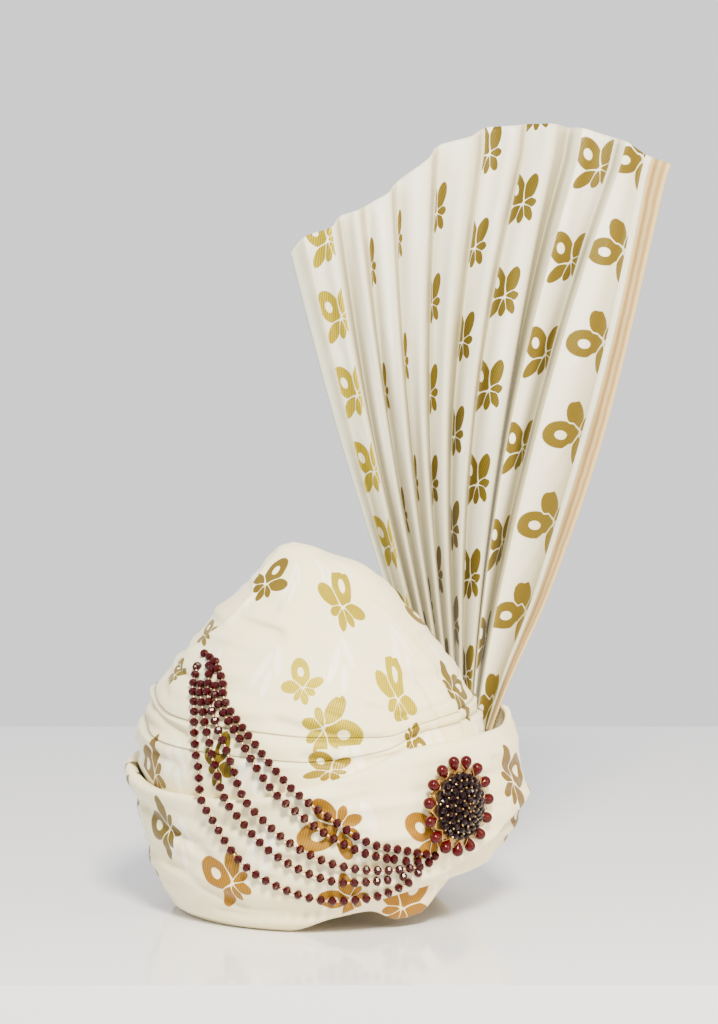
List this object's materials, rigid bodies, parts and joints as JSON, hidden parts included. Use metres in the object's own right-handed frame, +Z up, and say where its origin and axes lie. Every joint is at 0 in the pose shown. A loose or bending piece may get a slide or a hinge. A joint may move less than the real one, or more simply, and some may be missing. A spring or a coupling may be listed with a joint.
{
  "type": "tied turban with a pleated fan, a brooch and bead strands",
  "caption": "Wound cream brocade turban with a domed crown, a soft cuff, an upright pleated fan, a garnet brooch and bead strands swung across the side.",
  "frame": {"origin": "on the table under the middle of the whole turban", "axes": "+Z up, -Y towards the side that shows the strands and the brooch, +X towards the fan's free edge"},
  "size_m": [0.3648, 0.2486, 0.5201],
  "materials": {
    "wound_cloth": "cream satin brocade with woven gold flowers",
    "fan_brocade": "cream satin brocade with woven gold flowers and a striped border",
    "dark_stones": "almost black cut stones on a gold setting",
    "red_glass": "polished deep red",
    "garnet_beads": "faceted dark garnet"
  },
  "bodies": {
    "root": {"crown": "wound_cloth", "brow_band": "wound_cloth", "fan": "fan_brocade", "brooch_cluster": "dark_stones", "drop_01": "red_glass", "drop_02": "red_glass", "drop_03": "red_glass", "drop_04": "red_glass", "drop_05": "red_glass", "drop_06": "red_glass", "drop_07": "red_glass", "drop_08": "red_glass", "drop_09": "red_glass", "drop_10": "red_glass", "drop_11": "red_glass", "drop_12": "red_glass", "drop_13": "red_glass", "drop_14": "red_glass", "drop_15": "red_glass", "strand_1": "garnet_beads", "strand_2": "garnet_beads", "strand_3": "garnet_beads", "strand_4": "garnet_beads", "strand_5": "garnet_beads"}
  },
  "joints": []
}
